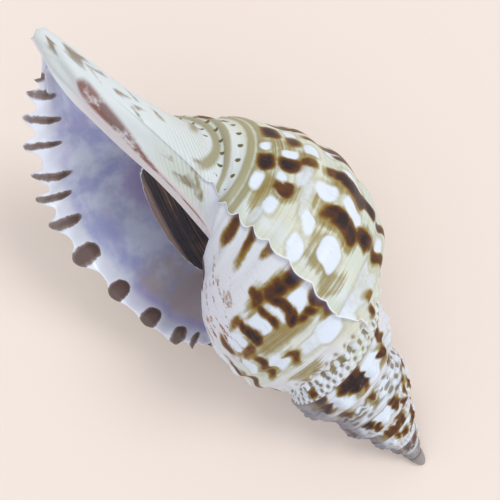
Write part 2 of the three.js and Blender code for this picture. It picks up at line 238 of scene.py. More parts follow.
def finger_wave(x):
    """1 where a cord ends at a former lip's edge, 0 in the notches between cords."""
    k = np.clip(np.searchsorted(FINGERS, x, side="right"), 1, len(FINGERS) - 1)
    t = np.clip((x - FINGERS[k - 1]) / (FINGERS[k] - FINGERS[k - 1]), 0, 1)
    return np.abs(np.cos(np.pi * t))


def varix_shift(x):
    """Turns by which the free edge of a former lip leans forward, less where a cord ends in a scallop."""
    lean = VARIX_LEAN_AT_SUTURE * (1 - smooth(0.5, 4.5, x)) + VARIX_LEAN_AT_NECK * smooth(11, 12, x)
    return lean - finger_wave(x) * np.interp(x, FINGER_ROWS, FINGER_TURNS)


def along_varix(u, x):
    """Moves the mesh lines near the last whorl's varix so that one of them runs along its free edge."""
    return u - varix_shift(x) * smooth(0.36, VARIX_STEP - 0.03, u) * (1 - smooth(VARIX_STEP + 0.03, 0.94, u))


def varix_place(u, x):
    """Turns behind the nearest free edge of a former lip, negative in front of it."""
    behind = u + varix_shift(x)
    nearest = np.clip(np.round(behind / VARIX_STEP), 1, int(WHORLS / VARIX_STEP))
    return behind - nearest * VARIX_STEP


def varices(u, x):
    reach = window(0.2, 1.2, 12.4, 13.6, x)
    behind = varix_place(u, x)
    older = 0.6 * bell(behind, VARIX_BACK) + 0.4 * bell(behind, VARIX_FOOT)
    height = np.where(behind < 0, bell(behind, VARIX_FRONT), older)
    return VARIX_HEIGHT * reach * height * (0.8 + 0.2 * cord_wave(x))


def small_beads(u, x):
    """Rows of grains under the suture: 1 on a grain, down to -1 between grains."""
    row = np.round(x / BEAD_ROW)
    count = SMALL_BEADS_PER_TURN * (1 - 0.35 * smooth(1, 2.5, u))
    turn = count * u + 0.37 * row + 0.22 * np.sin(31 * u + 2.3 * row)
    return np.cos(2 * np.pi * turn) * np.cos(np.pi * (x / BEAD_ROW - row)) ** 1.2


def bead_reach(u, x):
    uneven = 0.75 + 0.25 * np.sin(17 * u + 1.7 * x)
    return uneven * window(0.0, 0.06, 1.3, 2.0, x) * (1 - 0.6 * smooth(1.6, 2.4, u))


def glaze(u, x):
    """1 where the inner lip's glaze covers the base of the last whorl."""
    on_base = (u > VARIX_STEP) & (u <= 1)
    return np.where(on_base, smooth(0.68, 0.8, u) * window(5, 7.5, 12, 12.6, x), 0)


def neck_ribs(u, x):
    return window(11.9, 12.2, 12.4, 13.0, x) * (u <= 1)


def dots(u, x):
    """1 on the small dark dots between the olive bands."""
    shown = (u < VARIX_STEP - 0.03) & (x > 9)
    turns = u[shown]
    rows = x[shown] - BASE_DRIFT * turns
    millimetres = cord_spacing(turns, x[shown])
    field = np.zeros(len(u))
    for k, row in enumerate(DOT_ROWS):
        along_band = np.maximum(np.cos(2 * np.pi * (turns / DOT_STEP + 0.3 * k)), 0) ** 2.5
        dot = bell((rows - row) * millimetres, DOT_RADIUS) * along_band
        field[shown] = np.maximum(field[shown], dot)
    return field * (1 - smooth(11.9, 12.2, x))


def relief(u, x):
    scale = GROWTH ** -u
    rows = np.where(u <= 1, base_row(u, x), x)
    shape = smooth(0.3, 0.9, x) * (1 - smooth(11.5, 12.6, rows))
    t, between = cord_phase(rows)
    thread = np.where(between, THREAD_HEIGHT * bell(t - 0.5, 0.12), 0)
    last = CORD_HEIGHT * (cord_wave(rows) - 0.5) * (1 - 0.6 * smooth(9, 10.5, x))
    earlier = SPIRE_CORD_HEIGHT * np.cos(2 * np.pi * (x - 0.9)) * 0.5 * (1 - smooth(4.6, 5.3, x))
    on_spire = smooth(0.95, 1.1, u)
    cords = (last * (1 - on_spire) + earlier * on_spire + thread) * shape
    beads = BEAD_HEIGHT * np.cos(2 * np.pi * BEADS_PER_TURN * u) * bell(x - 1.2, 0.7)
    beads = beads + KNOB_HEIGHT * np.cos(2 * np.pi * KNOBS_PER_TURN * u) * bell(x - 3.9, 0.9) * on_spire
    beads = beads + SMALL_BEAD_HEIGHT * small_beads(u, x) * bead_reach(u, x)
    bands = BAND_HEIGHT * olive_bands(u, x)
    return scale * ((cords + beads + bands) * (1 - 0.8 * glaze(u, x)) + varices(u, x))


def tooth_length(x):
    pointed = window(5.6, 6.6, 13.3, 13.8, x)
    return cord_wave(x) ** 1.6 * (BLUNT_TOOTH_LENGTH + (TOOTH_LENGTH - BLUNT_TOOTH_LENGTH) * pointed)


def from_inner_edge(u, x):
    """Millimetres from the inner lip's free edge, round the neck."""
    return (1 - u) * 2 * np.pi * np.interp(x, EDGE_ROWS, EDGE_RADII)


def inner_lip(u, x):
    reach = window(8.4, 10.5, 13.8, 14.8, x)
    away = from_inner_edge(u, x)
    ridge = 0.8 * bell(away - GROOVE_FROM_EDGE - 4.5, 2)
    lip = INNER_LIP_HEIGHT * bell(1 - u, 0.012)
    return reach * (lip + ridge - GROOVE_DEPTH * bell(away - GROOVE_FROM_EDGE, GROOVE_WIDTH))


def cord_spacing(u, x):
    """Millimetres across the base's cords for one row."""
    rows = outline(u)
    run = along(rows, np.minimum(x + 0.05, CANAL_ROW)) - along(rows, x - 0.05)
    length = np.hypot(run[:, 0], run[:, 1]) / 0.1
    return 1 / np.hypot(1 / length, BASE_DRIFT / (2 * np.pi * along(rows, x)[:, 0]))


def olive_bands(u, x):
    """1 on the broad olive bands that go round the base beside the neck."""
    field = np.zeros(len(u))
    shown = (u <= 1) & (x > 8)
    rows = x[shown] - BASE_DRIFT * u[shown]
    millimetres = cord_spacing(u[shown], x[shown])
    fade = 1 - smooth(12.15, 12.5, x[shown])
    for band in OLIVE_BANDS:
        field[shown] = np.maximum(field[shown], bell((rows - band) * millimetres, BAND_WIDTH) * fade)
    return field


def around_neck(u, x):
    return u + CANAL_SLIT * smooth(12.6, 14, x) * (0.5 - u)


def neck_bend(height):
    return NECK_BEND * smooth(NECK_BEND_FROM, NECK_BEND_TO, height)


def to_space(u, flat):
    """Upright shell coordinates of radius and height at u, with the apex at the origin."""
    angle = LIP_ANGLE + 2 * np.pi * u
    radius, height = flat[:, 0], flat[:, 1]
    return np.stack([radius * np.cos(angle) + neck_bend(height), -radius * np.sin(angle), height], axis=-1)


def outside(u, x):
    lip = np.where(u <= 1, inner_lip(u, x), 0)
    teeth = tooth_length(x) * bell(u, 0.03)
    raised = relief(u, x) + lip + teeth
    return to_space(around_neck(u, x), offset(outline(u), x, raised))


def laid_down():
    """Rotation from the upright shell to its resting place."""
    canal = Vector((0, math.sin(TIP), math.cos(TIP)))
    side = Vector((-1, 0, 0))
    up = Vector((0, -math.cos(TIP), math.sin(TIP)))
    return np.array(Matrix((canal, side, up)) @ Matrix.Rotation(ROLL, 3, "Z"))


def to_row(points):
    """Upright shell millimetres to the row's frame in metres; the ground wears away what is below it."""
    placed = points @ laid_down().T + APEX
    placed[:, 2] = np.maximum(placed[:, 2], 0)
    return placed / 1000


EDGE_ROWS = np.linspace(0, CANAL_ROW, 151)
EDGE_RADII = along(section(1.0, len(EDGE_ROWS)), EDGE_ROWS)[:, 0]


def photo_axes():
    """The picture's right, down and into-the-scene directions, as rows in upright shell coordinates."""
    ct, st = math.cos(AXIS_TILT), math.sin(AXIS_TILT)
    cp, sp = math.cos(AXIS_TURN), math.sin(AXIS_TURN)
    side = np.array([sp, -cp, 0])
    near = np.array([cp * st, sp * st, -ct])
    canal = np.array([-cp * ct, -sp * ct, -st])
    return np.stack([side, -near, canal], axis=-1)


def apex_in_picture():
    middle = PICTURE / 2
    return np.array([APEX_PIXEL[0] - middle, APEX_PIXEL[1] - middle, FOCAL]) * UNIT


def to_picture(points):
    """Pixels of upright shell points, and their depth."""
    seen = points @ photo_axes().T + apex_in_picture()
    pixels = PICTURE / 2 + FOCAL * seen[:, :2] / seen[:, 2:3]
    return pixels, seen[:, 2]


# Rows of the fine mesh, closer together where the sculpture is finer.
SPIRE_ROWS = np.concatenate([np.linspace(0, 2.4, 69)[:-1], np.linspace(2.4, SUTURE_ROW, 35)])
BASE_ROWS = np.concatenate([np.linspace(SUTURE_ROW, 12.2, 86)[1:-1], np.linspace(12.2, CANAL_ROW, 43)])
WHORL_STEPS = 360
SPIRE_STEPS = 186
VARIX_LINES = VARIX_STEP + 0.001 * np.array([-3.2, -2.1, -1.3, -0.6, 0.0, 0.4, 0.9, 1.5, 2.2, 3.4, 5.0])
WHORL_PIECE_END = 1.25
SEAM_ROW = 0.036
CAVITY_STEPS = 90
CAVITY_WALL_POINTS = 120
CAVITY_PILLAR_POINTS = 70
SECTION_POINTS = 241
RIM_RINGS = 9
EDGE_START_ROW = 0.4


def grid_points(u_values, x_values):
    """Points of the outer face over a grid; the row by the suture slopes onto the earlier whorl."""
    u, x = np.meshgrid(u_values, x_values, indexing="ij")
    x = x.ravel()
    u = along_varix(u.ravel(), x)
    points = outside(u, np.maximum(x, SEAM_ROW))
    near = x < SEAM_ROW
    seam = outside(u[near] + 1, np.full(near.sum(), float(SUTURE_ROW)))
    t = (x[near] / SEAM_ROW)[:, None]
    points[near] = seam * (1 - t) + points[near] * t
    return points.reshape(len(u_values), len(x_values), 3)


def numbered(grid, start=0):
    """Point numbers of a grid of points, counted from start."""
    return start + np.arange(grid.shape[0] * grid.shape[1]).reshape(grid.shape[:2])


def grid_faces(index):
    """Quads over a grid of point numbers."""
    a, b = index[:-1, :-1].ravel(), index[:-1, 1:].ravel()
    c, d = index[1:, 1:].ravel(), index[1:, :-1].ravel()
    return np.stack([a, b, c, d], axis=-1).tolist()


def make_mesh(name, points, faces, u, x, fields):
    mesh = bpy.data.meshes.new(name)
    mesh.from_pydata(to_row(points).tolist(), [], faces)
    mesh.polygons.foreach_set("use_smooth", [True] * len(mesh.polygons))
    corners = np.zeros(len(mesh.loops), dtype=int)
    mesh.loops.foreach_get("vertex_index", corners)
    layer = mesh.uv_layers.new(name="turn_and_row")
    layer.data.foreach_set("uv", np.stack([u[corners], x[corners]], axis=-1).ravel())
    for field, values in fields.items():
        attribute = mesh.attributes.new(field, "FLOAT", "POINT")
        attribute.data.foreach_set("value", np.asarray(values, dtype=np.float32))
    mesh.update()
    obj = bpy.data.objects.new(name, mesh)
    bpy.context.scene.collection.objects.link(obj)
    return obj


# Blotches of the visible side: pixel in the photograph, half size along the cord and across the cords
# in millimetres, and strength.
DARK_MARKS = [
    (268.7, 133, 4.2, 3, 1.2), (290.8, 142, 3.8, 3.1, 1.1), (266, 160.5, 3.9, 4, 1.2),
    (290, 164.5, 2.8, 4, 1.1), (307.5, 163, 2.4, 2.6, 0.35), (282, 188, 1.6, 3.4, 0.35),
    (290, 186, 1.4, 2, 0.3), (287, 128.5, 2, 4.5, 0.8), (330, 172, 2.8, 3, 0.6), (340, 178, 3.4, 4.2, 1.1),
    (350, 187, 4.2, 4.6, 1.2), (360, 198, 4.4, 5, 1.2), (368, 210, 3.4, 3.6, 0.9), (313, 140, 1.8, 4, 0.6),
    (335, 153, 2.4, 7, 0.7), (352, 168, 2.6, 6, 0.7), (333, 213, 2.8, 3.4, 0.9), (340, 222, 3.8, 3.8, 1.1),
    (350, 232, 4, 4.4, 1.1), (361, 240, 3.6, 4, 0.95), (370, 243, 2.8, 3.6, 0.7), (375, 256, 2.6, 4, 0.6),
    (381, 224, 2.6, 5, 0.8), (384, 236, 1.6, 3, 0.6), (232, 227, 8, 1.9, 0.6), (247.5, 244, 8, 1.9, 0.7),
    (268, 252, 4, 1.4, 0.3), (291, 276, 4.6, 2.8, 1.1), (279, 286, 4.6, 2.6, 0.9), (272, 291, 3, 2.2, 0.8),
    (277, 299, 1.4, 3, 0.8), (285, 309, 1.4, 4, 0.9), (293, 318, 1.8, 2.6, 0.9), (303, 318, 2.4, 1.6, 0.9),
    (312, 311, 2, 2.2, 0.8), (317, 299, 1.8, 3, 1), (326, 307, 2, 3.6, 1.1), (260, 301, 4, 1.9, 0.5),
    (253, 297, 2, 2, 0.5), (266, 315, 1.7, 3, 0.8), (273, 322, 1.6, 2.6, 0.9), (244, 326, 2, 3, 0.9),
    (251, 335, 2.4, 3.8, 1.1), (257, 343, 2.2, 2.6, 0.9), (235, 320, 3, 1.6, 0.5),
    (226, 345, 1.4, 3.2, 0.8), (238, 371, 1.4, 4.4, 1), (252, 379, 1.4, 4.4, 0.9),
    (263, 366, 1.6, 3.2, 0.6), (271, 373, 1.8, 2.4, 0.7), (249, 353, 3, 1.8, 0.5), (292, 356, 2, 3.2, 0.55),
    (372, 303, 2.2, 4, 0.5), (344, 389, 3, 3.2, 1.1), (354, 385, 3.6, 4.4, 1.2), (361, 379, 2.2, 4, 1),
    (318, 402, 3.4, 2.8, 1.1), (326, 410, 3, 2.6, 1), (312, 394, 2, 2.4, 0.8), (347, 415, 2, 4.6, 0.9),
    (372, 313, 1.6, 3, 0.7), (384, 350, 2.4, 2.8, 0.6), (388, 360, 1.8, 2.4, 0.7), (379, 337, 2.2, 3, 0.5),
    (368, 424, 2.2, 4.6, 1.1), (378, 428, 2, 2.4, 1), (372, 396, 1.8, 4, 0.6), (392, 400, 2, 2.2, 0.9),
    (401, 363, 1.8, 2.2, 0.8), (402, 379, 1.8, 3, 0.9), (411, 382, 1.4, 2.2, 0.6), (405, 402, 1.6, 3, 0.7),
    (404, 420, 1.6, 2.6, 0.7), (413, 417, 1.4, 2.4, 0.6), (398, 438, 3.4, 2, 0.6),
    (412, 447, 3.4, 1.8, 0.5),
]
WHITE_MARKS = [
    (289.5, 136, 2.8, 2.8, 1), (266.5, 146.5, 1.9, 2.3, 1), (290, 153.5, 3, 2.7, 1.1),
    (309, 150, 2.8, 2.8, 0.9), (257.5, 179, 3.8, 1.7, 1), (280.5, 180, 4.4, 2.2, 1.1),
    (268, 203.5, 2.9, 2.2, 1.1), (327, 191, 4.2, 3.8, 0.9), (353, 213, 4.2, 6.8, 1.2),
    (335, 158, 3.8, 3.2, 0.8), (356, 184, 2.2, 5, 0.9), (310, 222, 3.8, 3.2, 0.9),
    (294.5, 245, 4.4, 3.8, 0.8), (330.5, 257.5, 5.2, 5, 1.2), (377, 245, 4, 2, 1),
    (255, 216, 3.2, 1.6, 0.6), (361, 284, 7, 4.2, 0.6), (352, 300, 5, 3, 0.6), (305, 178, 5, 2.2, 0.6),
    # The pale band at (308, 200) is partly a painted highlight along a glossy ridge and partly the ridge's
    # pale colour.
    (308, 200, 7, 1.8, 0.5), (296, 302, 4.8, 4.4, 1.2), (278.5, 312.7, 2, 3.6, 1),
    (259, 328, 3.8, 3.8, 1.1), (236, 343, 3.8, 4.6, 1.1), (252, 368, 2.4, 4.8, 1),
    (279, 361.5, 3.2, 4.6, 1), (328, 326, 5.5, 4.6, 1), (345, 318, 3.6, 4, 0.8), (313, 340, 6, 2.4, 0.8),
    (372, 368, 6, 4.4, 1.2), (330, 396, 3, 2.6, 0.9), (340, 403, 5, 4, 1.1), (352, 404, 3.4, 3, 0.8),
    (383, 385, 3.8, 2.6, 0.9), (397, 388, 3, 2.6, 0.9), (391, 408, 3.2, 3, 0.9), (385, 418, 3.6, 2.6, 0.9),
    (383, 432, 2.6, 2.2, 0.8), (410, 428, 3.2, 2.2, 0.8), (396, 424, 2.6, 2.4, 0.8),
    (388, 340, 3.6, 2, 0.8), (396, 370, 3, 1.8, 0.7), (408, 398, 2.6, 1.8, 0.7), (361, 410, 4, 2, 0.8),
]
OCHRE_MARKS = [
    (262, 189, 8.5, 2.6, 1.1), (282, 189, 3.4, 5, 1), (278, 150, 7, 6, 0.5), (299, 160, 5, 5, 0.7),
    (328, 172, 3, 4, 0.9), (350, 190, 4.6, 9, 0.9), (322, 205, 2.4, 3, 0.4), (345, 228, 5.6, 10, 0.9),
    (371, 245, 4, 6, 1), (378, 262, 3, 6, 0.8), (316, 266, 3.4, 3, 0.8), (328, 272, 3, 5, 0.9),
    (316, 246, 6, 2.6, 0.6), (332, 285, 5, 4, 0.5), (322, 310, 3, 4, 0.9), (284, 284, 8, 4.2, 0.8),
    (259, 302, 5.4, 3.6, 0.8), (282, 334, 13, 4.4, 0.9), (300, 322, 6, 4, 0.7), (292, 356, 3, 4, 1),
    (247, 352, 6, 5, 0.8), (268, 368, 4, 5, 0.8), (305, 370, 8, 5, 0.5), (335, 362, 7, 4, 0.5),
    (356, 386, 6, 6, 0.8), (384, 352, 5, 5, 0.9), (374, 398, 3, 6, 0.9), (390, 400, 4, 4, 0.8),
    (400, 440, 7, 4, 0.9), (322, 406, 6, 5, 0.8), (345, 415, 5, 5, 0.8), (402, 380, 3, 5, 0.8),
    (410, 450, 4, 4, 0.8), (403, 420, 3, 5, 0.8), (371, 425, 4, 6, 0.8), (199, 184, 3, 2, 0.6),
]
SPOT_MARKS = [
    (53, 42, 2.6, 2.6, 0.8), (70, 52, 1.8, 3, 1.1), (84, 60, 1.8, 2.6, 1.1), (77, 58, 1.8, 2.6, 0.8),
    (97, 72, 2.4, 2, 0.5), (123, 98, 1.6, 2.2, 0.9), (130, 94, 1.4, 2, 0.7), (137, 114, 1.6, 1.8, 0.8),
    (144, 112, 1.4, 1.8, 0.8), (151, 112, 1.4, 1.8, 0.7), (179, 175, 2.6, 1.6, 1.2),
    (187, 181, 3.4, 1.8, 1.4), (194, 187, 2.8, 1.6, 1.2), (165, 153, 1.6, 1.6, 0.5),
    (202, 164, 1.6, 1.4, 0.6),
]

# Brown marks on the teeth of the outer lip: row, half width and length inward from the margin, in
# millimetres, and the length of a row there.
TOOTH_MARKS = [
    (13.33, 1, 3.5), (12.99, 1.3, 8), (12.25, 1.7, 9.5), (10.91, 1.8, 9.5), (9.7, 2, 10), (8.81, 2, 9),
    (7.74, 2.1, 8), (6.62, 3.2, 6.5), (4.91, 5.6, 6.5), (2.93, 4.6, 6), (1.5, 2.6, 5.5), (0.92, 1.7, 5),
]
TOOTH_ROW_LENGTH = 11.0
EDGE_WIDTH = 4.0

# How far past a mark's edge its field reaches, in millimetres, and how square marks are.
MARK_REACH = 3.0
MARK_POWER = 2.8

# Blotches of the sides that the photograph doesn't show follow the same habit, in rows between cords.
HIDDEN_SEED = 11
BLOTCH_ROWS = [1.9, 3.6, 5.0, 6.4, 7.6, 8.6, 9.6, 10.5]
BLOTCH_SPACING = 0.042

# Turns from one silhouette to the other, and whorls, that the photograph shows.
SHOWN_FROM = 0.41
SHOWN_FROM_BY_NECK = 0.36
SHOWN_TO = 0.86
SHOWN_WHORLS = 2.5

# A mark's place is looked for within so many pixels, and so many millimetres behind the nearest face.
SEARCH_PIXELS = 6
SAME_SIDE_DEPTH = 8


def nearest_seen(pixel, pixels, depth, facing):
    """Number of the outer-face point that the photograph shows at a pixel."""
    away = np.hypot(pixels[:, 0] - pixel[0], pixels[:, 1] - pixel[1])
    close = facing & (away < SEARCH_PIXELS)
    if not close.any():
        return int(np.argmin(np.where(facing, away, np.inf)))
    front = depth[close].min()
    return int(np.argmin(np.where(close & (depth < front + SAME_SIDE_DEPTH), away, np.inf)))


def surface_frame(u, x):
    """Lengths in millimetres of one whorl of turn and of one row, at a place on the outer face."""
    step = 0.05
    at = outside(np.array([u - 0.004, u + 0.004, u, u]), np.array([x, x, x - step, x + step]))
    return np.linalg.norm(at[1] - at[0]) / 0.008, np.linalg.norm(at[3] - at[2]) / (2 * step)


class Blotches:
    """The places of all blotches, as turn, row, half sizes and strength."""

    def __init__(self):
        u, x = np.meshgrid(np.linspace(0.3, 3.4, 900), np.linspace(0.5, 14.8, 190), indexing="ij")
        u, x = u.ravel(), x.ravel()
        keep = (u <= 1) | (x <= SUTURE_ROW)
        self.u, self.x = u[keep], x[keep]
        points = outside(self.u, self.x)
        step = outside(self.u + 0.002, self.x) - points
        rise = outside(self.u, self.x + 0.02) - points
        normal = np.cross(step, rise)
        self.pixels, self.depth = to_picture(points)
        seen = points @ photo_axes().T + apex_in_picture()
        towards = -(normal @ photo_axes().T * seen).sum(axis=1)
        outward = np.sign(np.median(points[:, 0] * normal[:, 0] + points[:, 1] * normal[:, 1]))
        self.facing = towards * outward > 0

    def placed(self, marks, lightest):
        out = []
        for px, py, along_cord, across, strength in marks:
            k = nearest_seen((px, py), self.pixels, self.depth, self.facing)
            u, x = self.u[k], self.x[k]
            turn_length, row_length = surface_frame(u, x)
            size = min(along_cord, across)
            out.append((u, x, along_cord / turn_length, across / row_length, size, 2 * strength - lightest))
        return out

    def hidden(self):
        """Dark and white blotches in alternation, away from what the photograph shows."""
        rng = np.random.default_rng(HIDDEN_SEED)
        dark, white = [], []
        for centre in BLOTCH_ROWS:
            first_shown = SHOWN_FROM_BY_NECK if centre > 9 else SHOWN_FROM
            u = 0.05
            end = 1.0 if centre > SUTURE_ROW else WHORLS
            while u < end:
                turn = u % 1
                shown = first_shown < turn < SHOWN_TO and u < SHOWN_WHORLS
                x = centre + rng.uniform(-0.25, 0.25)
                turn_length, row_length = surface_frame(u, x)
                size = GROWTH ** -(0.7 * max(u - 1, 0))
                pick = rng.random()
                half_u = rng.uniform(3.0, 5.5) * size
                half_x = rng.uniform(3.0, 4.6) * size
                depth = rng.uniform(0.6, 1.7)
                mark = (u, x, half_u / turn_length, half_x / row_length, min(half_u, half_x), depth)
                if not shown and pick < 0.4:
                    dark.append(mark)
                elif not shown and pick < 0.9:
                    white.append(mark)
                u += BLOTCH_SPACING * rng.uniform(0.8, 1.2) * (1 + 0.35 * max(u - 1, 0))
        return dark, white


def inside_mark(along_cord, across, size):
    """Millimetres inside the edge of a rounded square that reaches 1 each way, drawn at a size."""
    return (1 - (along_cord ** MARK_POWER + across ** MARK_POWER) ** (1 / MARK_POWER)) * size


def growth_step(u, x):
    """Number of former lips in front of a place. A mark ends at the edge of the lip it grew behind."""
    return np.floor((u + varix_shift(x)) / VARIX_STEP + 1e-6)


def spread(u, x, marks):
    """Millimetres inside the nearest mark's edge, at most its depth; below 0 outside, down to -MARK_REACH."""
    field = np.full(len(u), -MARK_REACH)
    growth = growth_step(u, x)
    waved = x + 0.09 * np.sin(47 * u + 2.1 * x)
    u = u + 0.004 * np.sin(5.1 * x + 9 * u) + 0.002 * np.sin(140 * u)
    x = waved
    for mark_u, mark_x, half_u, half_x, size, depth in marks:
        reach = half_u * (1 + MARK_REACH / size)
        near = np.abs(u - mark_u) < reach
        du, dx = np.abs((u[near] - mark_u) / half_u), np.abs((x[near] - mark_x) / half_x)
        inside = inside_mark(du, dx, size)
        same = growth[near] == growth_step(np.array([mark_u]), np.array([mark_x]))[0]
        inside = np.where(same, np.minimum(inside, depth), -MARK_REACH)
        field[near] = np.maximum(field[near], inside)
    return field


def lip_backs():
    """The teeth's brown marks where they go on over the back of the outer lip."""
    marks = []
    for row, half_width, length in TOOTH_MARKS:
        turn_length, row_length = surface_frame(0.01, row)
        marks.append((0.0, row, length / turn_length, half_width / row_length, half_width, 1.4))
    return marks


blotches = Blotches()
hidden_dark, hidden_white = blotches.hidden()
dark_places = blotches.placed(DARK_MARKS, 0.4) + hidden_dark + lip_backs()
white_places = blotches.placed(WHITE_MARKS, 1.2) + hidden_white
ochre_places = blotches.placed(OCHRE_MARKS, 0.4)
spot_places = blotches.placed(SPOT_MARKS, 0.4)


def stain_and_shade(u):
    """1 on the grey underside of the earlier whorls: partly stain, partly painted shade where the underside
    turns from the light.
    """
    turn = u % 1
    return window(0.72, 0.84, 0.94, 1.0, turn) * smooth(1.6, 1.9, u)


def outer_fields(u, x):
    behind = varix_place(u, x)
    away = from_inner_edge(np.minimum(u, 1), x)
    on_neck = window(9, 10.2, 13.7, 14.0, x) * (u <= 1)
    reached = window(0.1, 0.4, 12.2, 12.7, x)
    towards_canal = smooth(12.5, 13.4, x)
    groove = bell(away - GROOVE_FROM_EDGE - 2 * towards_canal, 3.2 + 1.8 * towards_canal) * on_neck
    older = (behind > 0) * (u > 0.5) * (u <= 1) * smooth(4, 6.5, x)
    older = older * (0.8 - 0.8 * smooth(11.9, 12.5, x))
    return {
        "dark": spread(u, x, dark_places),
        "white": spread(u, x, white_places),
        "ochre": spread(u, x, ochre_places),
        "spots": spread(u, x, spot_places),
        "band": olive_bands(u, x) * (growth_step(u, x) < 1),
        "ribs": neck_ribs(u, x),
        "rib_row": NECK_RIBS_PER_ROW * (x - NECK_RIB_DRIFT * u),
        # Painted highlight: a bright line along the free edge of each old lip.
        "edge": bell(behind + 0.0006, 0.0009) * reached,
        # Painted shadow: blue-grey just behind each old lip's edge, on the older side.
        "under": (behind > 0) * (1 - smooth(0.0005, 0.009, behind)) * reached,
        "glaze": np.maximum(glaze(u, x), older),
        "scribble": smooth(0.7, 0.8, u) * (u <= 1) * window(5.5, 7, 9.6, 10.6, x),
        "groove": groove * smooth(9.5, 12.6, x),
        "lip": (1 - smooth(10, 12, away)) * on_neck,
        "dots": dots(u, x),
        "between": window(10.3, 11, 12.4, 13.4, x) * (u < VARIX_STEP),
        "worn": smooth(4.3, 5.2, u),
        # Grey stain and painted shade on the underside of the earlier whorls.
        "stain_and_shade": stain_and_shade(u),
        "pale": np.maximum(smooth(1.1, 1.5, u), smooth(0.62, 0.7, u) * (1 - smooth(2.4, 4.0, x))),
        "ridge": (behind < 0) * bell(behind + 0.024, 0.011) * reached,
        "bead": small_beads(u, x) * bead_reach(u, x),
        # Painted shade in the crease of each suture.
        "suture": np.maximum(1 - smooth(0.01, 0.07, x), smooth(5.88, 6, x) * (u > 1)),
        "neck": smooth(12.3, 13.2, x) * (u <= 1),
    }


def make_whorl():
    """The last whorl, with the neck and canal, and the start of the spire."""
    rows = np.concatenate([SPIRE_ROWS, BASE_ROWS])
    even = np.arange(WHORL_STEPS + 1) / WHORL_STEPS
    away = (even < VARIX_LINES[0] - 0.001) | (even > VARIX_LINES[-1] + 0.001)
    turns = np.sort(np.concatenate([even[away], VARIX_LINES]))
    extra = round((WHORL_PIECE_END - 1) * WHORL_STEPS)
    more = 1 + np.arange(1, extra + 1) / WHORL_STEPS
    last = grid_points(turns, rows)
    earlier = grid_points(more, SPIRE_ROWS)
    points = np.concatenate([last.reshape(-1, 3), earlier.reshape(-1, 3), [[NECK_BEND, 0, SHELL_LENGTH]]])
    index = numbered(last)
    joined = np.concatenate([index[-1:, :len(SPIRE_ROWS)], numbered(earlier, index.size)])
    faces = grid_faces(index) + grid_faces(joined)
    tip = len(points) - 1
    faces += [[int(index[i, -1]), tip, int(index[i + 1, -1])] for i in range(len(turns) - 1)]
    u = np.concatenate([np.repeat(turns, len(rows)), np.repeat(more, len(SPIRE_ROWS)), [0.5]])
    x = np.concatenate([np.tile(rows, len(turns)), np.tile(SPIRE_ROWS, len(more)), [15.1]])
    u = along_varix(u, x)
    return make_mesh("shell_whorl", points, faces, u, x, outer_fields(u, x))


def make_spire():
    """The earlier whorls, to the worn apex."""
    count = round((WHORLS - WHORL_PIECE_END) * SPIRE_STEPS)
    turns = WHORL_PIECE_END + np.arange(count + 1) / SPIRE_STEPS
    grid = grid_points(turns, SPIRE_ROWS)
    index = numbered(grid)
    ring = np.concatenate([index[-SPIRE_STEPS - 1:, 0], index[-1, 1:]])
    flat = grid.reshape(-1, 3)
    domes = []
    for k in range(1, APEX_RINGS):
        angle = 0.5 * math.pi * k / APEX_RINGS
        dome = flat[ring] * [math.cos(angle), math.cos(angle), 1]
        dome[:, 2] += (APEX_WEAR - dome[:, 2]) * math.sin(angle)
        domes.append(dome)
    points = np.concatenate([flat, *domes, [[0, 0, APEX_WEAR]]])
    rings = np.concatenate([ring[None], len(flat) + np.arange(len(domes) * len(ring)).reshape(-1, len(ring))])
    tip = len(points) - 1
    faces = grid_faces(index) + grid_faces(rings.T)
    faces += [[int(rings[-1, k]), int(rings[-1, k + 1]), tip] for k in range(len(ring) - 1)]
    extra = len(points) - len(flat)
    u = np.append(np.repeat(turns, len(SPIRE_ROWS)), np.full(extra, WHORLS))
    x = np.append(np.tile(SPIRE_ROWS, len(turns)), np.full(extra, 3.0))
    return make_mesh("shell_spire", points, faces, u, x, outer_fields(u, x))


def resample(line, count):
    """Evenly spaced points along a polyline of radius, height and row."""
    steps = np.hypot(np.diff(line[:, 0]), np.diff(line[:, 1]))
    at = np.concatenate([[0], np.cumsum(steps)])
    target = np.linspace(0, at[-1], count)
    return np.stack([np.interp(target, at, line[:, k]) for k in range(3)], axis=-1)


def wall_depth(u, x):
    """Thickness of the outer wall, with the ridges that run inward from the teeth."""
    scale = GROWTH ** -u
    ridges = TOOTH_RIDGE * (cord_wave(x) ** 2 - 0.3) * bell(u, 0.035) * window(0.6, 1.2, 13.3, 14, x)
    return WALL * (0.6 + 0.4 * scale) * (1 - 0.35 * smooth(12, 14, x)) + ridges


